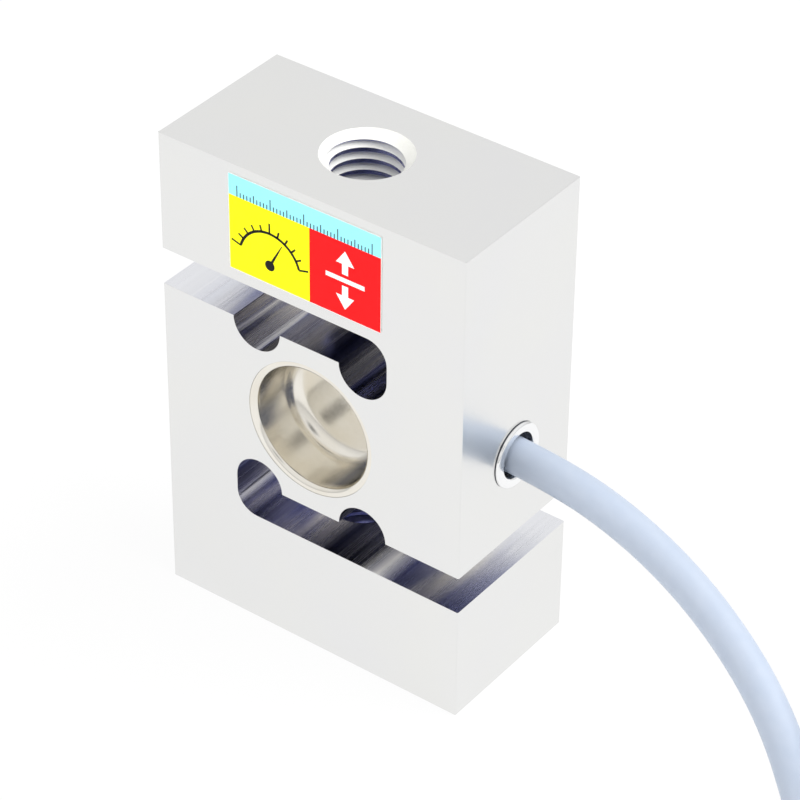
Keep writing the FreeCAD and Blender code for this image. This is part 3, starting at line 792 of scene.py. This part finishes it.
# %% Seal and shadow ring
# Nitrile rubber for the seal, also the painted shade of the ring under the flange: a deep blue-black
# with almost no shine.
seal_rubber = grained("black_rubber_and_painted_shade", "#0F1524", "#1C2436", 0.3, (0.5, 0.65),
                      detail=3.0, IOR=1.52)
seal_inner, seal_outer, seal_length = 2.65, 3.35, 4.4
seal_face = nose_face - 1.4
hollow = ((seal_inner + seal_outer) / 2, seal_face + 0.12)      # of the face, and its centre
seal_section = np.vstack([
    [(seal_inner, seal_face - seal_length), (seal_inner, seal_face)],
    bend(hollow, (seal_outer - seal_inner) / 2, 200, 340, 8),
    [(seal_outer, seal_face), (seal_outer, seal_face - seal_length)],
]) * MM
place_mesh("seal_ring", *skin(turned(seal_section, "x", 96), ring_shaped=True),
           seal_rubber, "seal_rubber", ("cable_seal",))
# Painted shade: a black ring in the gap under the flange, the gap's dark line.
shadow_ring_inner, shadow_ring_outer = shank + 0.02, flange - 0.04
shadow_ring_section = np.array([
    (shadow_ring_inner, SIDE_FACE), (shadow_ring_outer, SIDE_FACE),
    (shadow_ring_outer, under_flange), (shadow_ring_inner, under_flange),
]) * MM
place_mesh("flange_shadow_ring", *skin(turned(shadow_ring_section, "x", 96), ring_shaped=True),
           seal_rubber, "seal_rubber")

# %% [markdown]
# ## The label
# The label is a printed polyester film on the upper block. The film itself is the CAD plate;
# the inks are thin closed prisms on it, so that every printed edge is a real edge and stays
# sharp at any distance. The design is a plain one for any force sensor: a dial on yellow, two
# arrows for pull and push on red, and a ruled strip on light blue.

# %% Ink shapes
label_low, label_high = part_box("label")
INK = 0.015 * MM


def prism(outline, lift):
    """A flat shape (x, z) in millimetres from the label's lower left corner, made a thin plate.

    The front ring is the outline at the print's height above the film, and the back ring is the
    same outline on the film.
    """
    outline = np.asarray(outline, float) * MM + (label_low.x, label_low.z)
    back = np.column_stack([outline[:, 0], np.full(len(outline), label_low.y), outline[:, 1]])
    return np.stack([back, back - (0, lift * INK, 0)])


def box_outline(x0, z0, x1, z1):
    """The four corners of an upright rectangle."""
    return [(x0, z0), (x1, z0), (x1, z1), (x0, z1)]


def turned_outline(outline, angle, origin):
    """An outline turned by an angle in degrees and then moved to origin."""
    c, s = math.cos(math.radians(angle)), math.sin(math.radians(angle))
    return np.asarray(outline, float) @ np.array([(c, s), (-s, c)]) + origin


def band(centre, inside, outside, start, end, steps=40):
    """The outline of a flat ring's part, from angle start to angle end."""
    return np.vstack([
        bend(centre, outside, start, end, steps), bend(centre, inside, end, start, steps)])


def printed(name, outlines, lift, material):
    """All the shapes of one ink, as one mesh: each has its sides, a back and a front."""
    vertices, faces = [], []
    for outline in outlines:
        rings = prism(outline, lift)
        rim = rings.shape[1]
        back = len(vertices) + np.arange(rim)
        front = back + rim
        vertices += rings.reshape(-1, 3).tolist()
        faces += np.column_stack([back, np.roll(back, -1), np.roll(front, -1), front]).tolist()
        faces += [back[::-1].tolist(), front.tolist()]
    made = place_mesh(name, vertices, faces, material, "label_print", smooth=20)
    work = bmesh.new()
    work.from_mesh(made.data)
    bmesh.ops.recalc_face_normals(work, faces=work.faces)
    work.to_mesh(made.data)
    work.free()


def ink(name, hex_colour, hex_thin):
    """Screen ink: an even coat that is a little thinner in places, under a clear film."""
    return grained(name, hex_colour, hex_thin, 0.4, (0.34, 0.44), detail=3.0,
                   IOR=1.5, Specular_IOR_Level=0.12)


print("label:", [round(v / MM, 2) for v in label_high - label_low], "mm")

# %% Coloured fields
WIDE, TALL, EDGE = 25.4, 15.1, 0.08
STRIP, SPLIT = 3.3, 13.6                # height of the ruled strip, and the left edge of the red
field_top = TALL - STRIP
printed("print_yellow", [box_outline(EDGE, EDGE, SPLIT, field_top)], 1,
        ink("yellow_ink", "#FFFF00", "#FFFA10"))
printed("print_red", [box_outline(SPLIT, EDGE, WIDE - EDGE, field_top)], 1,
        ink("red_ink", "#FF0A10", "#F80A12"))
printed("print_blue", [box_outline(EDGE, field_top, WIDE - EDGE, TALL - EDGE)], 1,
        ink("light_blue_ink", "#A0F0FF", "#98EAFC"))

# %% Dial and rule
dial, scale_inside, scale_outside, dial_hub = (6.9, 3.0), 4.9, 5.3, 0.8
tick_foot, tick_end, long_tick_end, tick_half = 5.1, 6.1, 6.7, 0.14
ticks, first_tick, tick_step, needle_angle = 11, 15, 15, 62     # a count, then degrees
rule_marks, rule_start, rule_step, mark_half = 41, 1.5, 0.56, 0.07
mark, fifth_mark, tenth_mark = 0.75, 1.2, 1.7                   # lengths

last_tick = first_tick + tick_step * (ticks - 1)
dark_shapes = [band(dial, scale_inside, scale_outside, first_tick, last_tick)]
for step in range(ticks):
    end = long_tick_end if step % 5 == 0 else tick_end
    tick = box_outline(tick_foot, -tick_half, end, tick_half)
    dark_shapes.append(turned_outline(tick, first_tick + tick_step * step, dial))
needle = [(0.7, -0.2), (4.4, -0.06), (4.4, 0.06), (0.7, 0.2)]
dark_shapes.append(turned_outline(needle, needle_angle, dial))
dark_shapes.append(bend(dial, dial_hub, 0, 350, 35))
for step in range(rule_marks):
    length = tenth_mark if step % 10 == 0 else fifth_mark if step % 5 == 0 else mark
    at = rule_start + step * rule_step
    dark_shapes.append(box_outline(at - mark_half, field_top, at + mark_half, field_top + length))
printed("print_black", dark_shapes, 2, ink("black_ink", "#141414", "#1E1E1E"))

# %% Pull and push arrows
arrow = [(-0.5, 0.9), (0.5, 0.9), (0.5, 2.5), (1.5, 2.5), (0, 4.6), (-1.5, 2.5), (-0.5, 2.5)]
middle = ((SPLIT + WIDE) / 2, field_top / 2)
bar = [(-3.2, -0.35), (3.2, -0.35), (3.2, 0.35), (-3.2, 0.35)]
white_shapes = [turned_outline(shape, angle, middle) for shape, angle in
                ((arrow, 0), (arrow, 180), (bar, 0))]
printed("print_white", white_shapes, 2, ink("white_ink", "#FFFFFF", "#F6F6F6"))

# %% [markdown]
# ## The stripped end
# Five leads come out of a shrunk sleeve at the cable's far end: four insulated cores and the
# braid, twisted into one. Each follows its own NURBS line. Its mesh is a circle carried along
# the points of that line, with a radius that steps down where the insulation ends and the
# tinned strands show.

# %% Lead surfaces
LEAD_RADIUS, STRANDS_RADIUS, BRAID_RADIUS = 0.65 * MM, 0.34 * MM, 0.52 * MM
BARE = 6 * MM                           # stripped length
CORE_CIRCLE = 1.3                       # of the cores in the jacket, in millimetres
LEAD_SIDES, BRAID_SIDES = 20, 28
STRAND_SWELL, SHOULDER = 0.12, 0.02     # shares: of the radius, and of a step along the line
jacket_end = tail_route[-1]
forward = (tail_route[-1] - tail_route[-2]) / np.linalg.norm(tail_route[-1] - tail_route[-2])
leftward = np.array((-forward[1], forward[0], 0.0))
resting = (coil_high.z + 0.1 * MM + LEAD_RADIUS - jacket_end[2]) / MM      # down on the coil


def line_points(curve_object):
    """The points of a curve with no thickness, in order, and the curve is then removed."""
    mesh = bpy.data.meshes.new_from_object(
        curve_object.evaluated_get(bpy.context.evaluated_depsgraph_get()))
    points = np.empty(len(mesh.vertices) * 3)
    mesh.vertices.foreach_get("co", points)
    bpy.data.objects.remove(curve_object)
    return points.reshape(-1, 3)


def carried_circle(points, radius, segments=LEAD_SIDES, lobes=0, twist=0.0):
    """Rings of a circle carried along points, square to the line, with a radius at each point.

    The circle's first axis is level and its second is square to it and to the line. With lobes,
    the radius swells that many times round the circle and turns along the line, as strands do.
    """
    along = np.gradient(points, axis=0)
    along /= np.linalg.norm(along, axis=1, keepdims=True)
    level = np.cross(along, (0, 0, 1))
    level /= np.linalg.norm(level, axis=1, keepdims=True)
    upward = np.cross(level, along)
    t = np.linspace(0, math.tau, segments, endpoint=False)[None, :, None]
    turn = np.linspace(0, twist, len(points))[:, None, None]
    swell = 1 + (STRAND_SWELL * np.cos(lobes * (t + turn)) if lobes else 0 * t)
    reach = radius[:, None, None] * swell
    return points[:, None] + reach * (np.cos(t) * level[:, None] + np.sin(t) * upward[:, None])


def lead_line(clock, near, far):
    """A lead's line from its place on the circle of cores: 12 mm ahead, down, and along the coil.

    clock is its angle there, and near and far are (ahead, leftward) past 6 mm, in millimetres.
    """
    angle = math.radians(clock)
    side, high = -CORE_CIRCLE * math.cos(angle), CORE_CIRCLE * math.sin(angle)
    stations = np.array([(6, side, high), (12, side, high),
                         (6 + near[0], near[1], resting), (6 + far[0], far[1], resting)])
    axes = np.array([forward, leftward, (0, 0, 1)])
    return line_points(nurbs("lead_line", jacket_end + stations @ axes * MM))


def distance_to_end(points):
    """Length of the line from each point to the last one: a sum of the steps from the end."""
    steps = np.linalg.norm(np.diff(points, axis=0), axis=1)
    return np.append(np.cumsum(steps[::-1])[::-1], 0.0)


print("leads rest", round(-resting, 2), "mm below the end of the jacket's axis")

# %% Lead finishes
# Tinned copper: a soft grey-white metal, its strands drawn as grains of 0.12 mm.
tinned = grained("tinned_copper_strands", "#B9BBBD", "#DDDEDF", 0.12, (0.25, 0.4), Metallic=1.0)


def insulation(name, hex_colour, hex_deep):
    """Extruded PVC: an even colour with a soft gloss and faint draw lines."""
    return grained(name, hex_colour, hex_deep, 1.2, (0.3, 0.42), IOR=1.53)


core_finish = {
    "red": insulation("red_pvc_insulation", "#B81E1C", "#A81818"),
    "black": insulation("black_pvc_insulation", "#1B1B1D", "#141416"),
    "green": insulation("green_pvc_insulation", "#1F8A3C", "#187A34"),
    "white": insulation("white_pvc_insulation", "#E8E7E2", "#DEDDD6"),
}

# %% Leads
lead_plan = {
    "red": (162, (14, 4.2), (27, 12)), "black": (234, (13, 2.2), (26, 6)),
    "green": (306, (13, -1.6), (22, -4.5)), "white": (18, (12, -4.6), (19, -9.5)),
}
for colour, (clock, near, far) in lead_plan.items():
    points = lead_line(clock, near, far)
    step = np.searchsorted(-distance_to_end(points), -BARE)     # where the insulation ends
    points = np.insert(points, step, points[step], axis=0)      # twice, for a square shoulder
    points[step + 1] += (points[step + 2] - points[step]) * SHOULDER
    radius = np.where(np.arange(len(points)) <= step, LEAD_RADIUS, STRANDS_RADIUS)
    made = place_mesh(f"lead_{colour}", *skin(carried_circle(points, radius)),
                      core_finish[colour], f"insulation_{colour}", (f"tail_{colour}",))
    made.data.materials.append(tinned)
    bare = np.zeros(len(made.data.polygons), np.int32)
    bare[LEAD_SIDES * (step + 1):LEAD_SIDES * (len(points) - 1)] = 1
    bare[-LEAD_SIDES:] = 1
    made.data.polygons.foreach_set("material_index", bare)

points = lead_line(90, (14, 0.2), (24, 0.5))
braid = carried_circle(points, np.full(len(points), BRAID_RADIUS), BRAID_SIDES, lobes=7, twist=14.0)
place_mesh("lead_braid", *skin(braid), tinned, "tinned_braid", ("tail_shield",))

# %% [markdown]
# ## Cable jacket, ties and sleeve
# The jacket is extruded polyurethane, a pale blue-grey with a silky surface: a low, even
# gloss, and a very slight unevenness of colour. The ties are moulded nylon with fine teeth
# across the strap, and the sleeve is heat-shrink, matt with a fine wrinkle.

# %% Jacket and sleeve
jacket = grained("polyurethane_jacket", "#AEB7C5", "#A4AFC0", 2.2, (0.36, 0.46), detail=3.0, IOR=1.5)
pores = add(jacket, "TexNoise", {
    "Vector": add(jacket, "Mapping", {
        "Vector": add(jacket, "TexCoord").outputs["Object"],
        "Location": (1, 1, 1), "Scale": per_cell(0.25, 0.25, 0.25),
    }), "Scale": 1.0, "Detail": 2.0,
})
touch = add(jacket, "Bump", {"Height": pores, "Strength": 0.08, "Distance": 0.02 * MM})
finish(jacket, {"Normal": touch})
cable.data.materials.append(jacket)
shrink = grained("heat_shrink_polyolefin", "#17181A", "#232426", 0.8, (0.5, 0.62), detail=4.0, IOR=1.5)

# %% Banded finishes
SHARP, SOFT = (0.42, 0.58), (0.0, 1.0)          # how steeply one band turns into the next


def striped(name, hex_a, hex_b, direction, pitch_mm, edges=SHARP, roughness=(0.3, 0.45), **constants):
    """A whole finish in bands across one axis: a wave of pitch_mm, that is a scale of tau / 20 pitch."""
    material = new_material(name)
    wave = add(material, "TexWave", {
        "Vector": add(material, "TexCoord").outputs["Object"],
        "Scale": math.tau / (20 * pitch_mm * MM),
    }, wave_type="BANDS", bands_direction=direction)
    edge = add(material, "MapRange", {
        "Value": wave.outputs["Fac"], "From Min": edges[0], "From Max": edges[1],
    })
    tone = add(material, "Mix", {0: edge, 6: linear(hex_a), 7: linear(hex_b)}, data_type="RGBA")
    gloss = add(material, "MapRange", {
        "Value": wave.outputs["Fac"], **MIDDLE_HALF, "To Min": roughness[0], "To Max": roughness[1],
    })
    finish(material, {"Base Color": tone, "Roughness": gloss, **constants})
    return material


nylon = striped("moulded_nylon_tie", "#1A1A1C", "#242427", "Z", 1.9635, SOFT, (0.4, 0.5), IOR=1.53)

# %% [markdown]
# ## Inside the bore
# Behind the cups sit the strain gauges, their terminals and the wiring. They show only with a
# cup off, but they get their own finishes: amber polyimide with an etched foil grid, green
# glass epoxy with tinned pads, enamelled copper and lacquered resistors with colour bands.

# %% Finishes of the bridge
gauge_foil = striped("etched_foil_on_polyimide", "#B9751F", "#C9B48C", "Y", 0.5)
terminal_pads = striped("tinned_pads_on_glass_epoxy", "#3F6B3A", "#C9CBC6", "Y", 2.2)
resistor_bands = striped("lacquered_resistor", "#5E86A8", "#3B2A20", "Y", 1.4)
enamel = striped("enamelled_copper", "#B5602A", "#C4723A", "X", 0.6, roughness=(0.2, 0.3), Metallic=1.0)
film = grained("polyester_film", "#F4F4F0", "#EDEDE8", 1.2, (0.3, 0.42), IOR=1.53)    # white, satin

# %% Dress the CAD nodes that show as they are
node_finish = {
    "gauge_": gauge_foil, "terminal_": terminal_pads, "bridge_wire_": enamel,
    "resistor_": resistor_bands, "coil_tie_": nylon, "end_sleeve": shrink, "label": film,
    **{f"core_{colour}": look for colour, look in core_finish.items()},
}
dressed = 0
for name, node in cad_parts.items():
    for prefix, look in node_finish.items():
        if name.startswith(prefix):
            node.material_slots[0].material = look
            dressed += 1
print(dressed, "CAD nodes have their finish")

# %% [markdown]
# ## The last update
# The view layer is brought up to date, so that every object's place is current.

bpy.context.view_layer.update()
